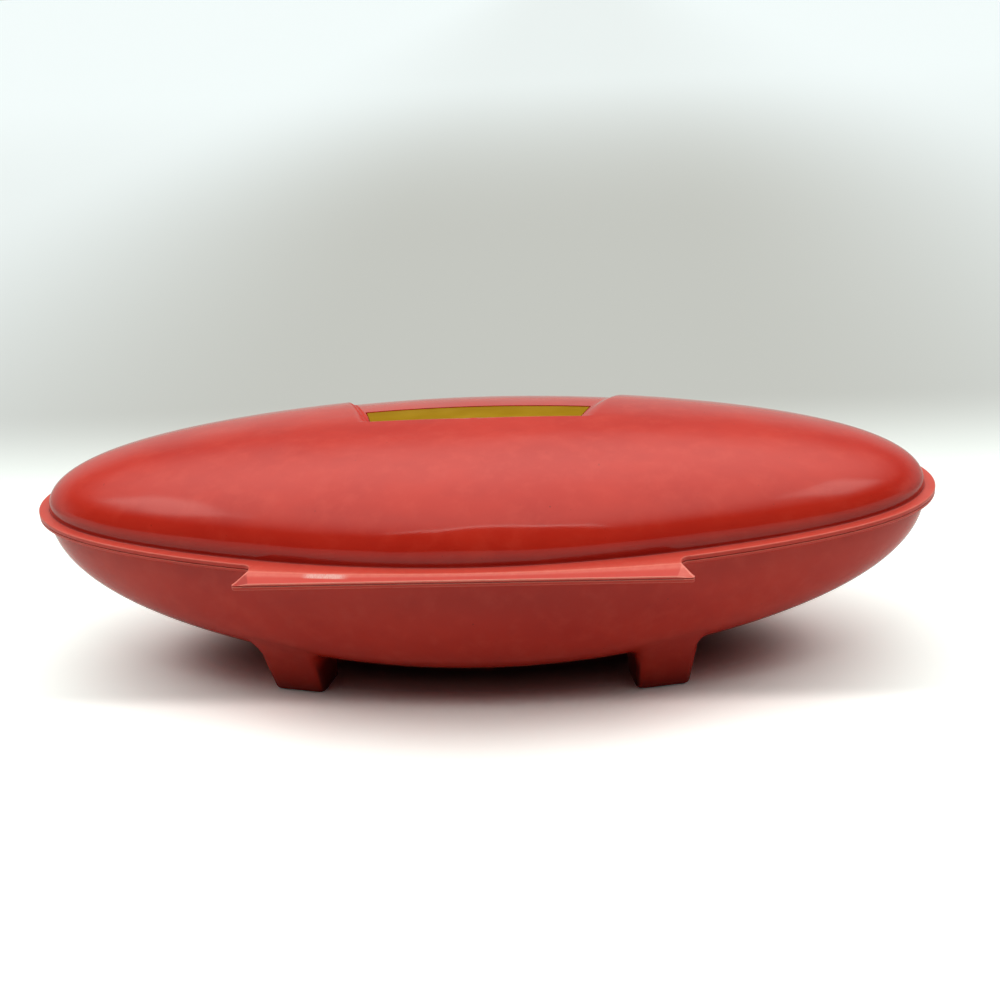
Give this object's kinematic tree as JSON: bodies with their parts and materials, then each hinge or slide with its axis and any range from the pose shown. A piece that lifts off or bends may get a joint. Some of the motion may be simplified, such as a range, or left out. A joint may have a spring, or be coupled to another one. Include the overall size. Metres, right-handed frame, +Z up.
{
  "type": "sewing machine attachment box",
  "caption": "Pod-shaped clamshell box on four feet with a fold-over hinge, a bare name strip in a pressed panel and a lift-out tray.",
  "frame": {"origin": "on the floor under the middle of the case", "axes": "+X along the case, +Y to the front with the name strip and thumb tab, +Z up; the hinge is at -Y"},
  "size_m": [0.27, 0.1226, 0.0744],
  "materials": {
    "case_plastic": "waxy moulded coral plastic",
    "gold_strip": "gold-coloured metal strip, bare",
    "tray_plastic": "waxy moulded coral plastic"
  },
  "bodies": {
    "base": {"base_shell": "case_plastic", "hinge_web": "case_plastic", "tray": "tray_plastic"},
    "lid": {"lid_shell": "case_plastic", "name_plate": "gold_strip"}
  },
  "joints": [
    {"name": "lid_hinge", "type": "hinge", "parent": "base", "child": "lid", "pos_m": [0, -0.0607, 0.0514], "axis": [1, 0, 0], "range_deg": [0, 180], "deforming": ["hinge_web"]}
  ]
}
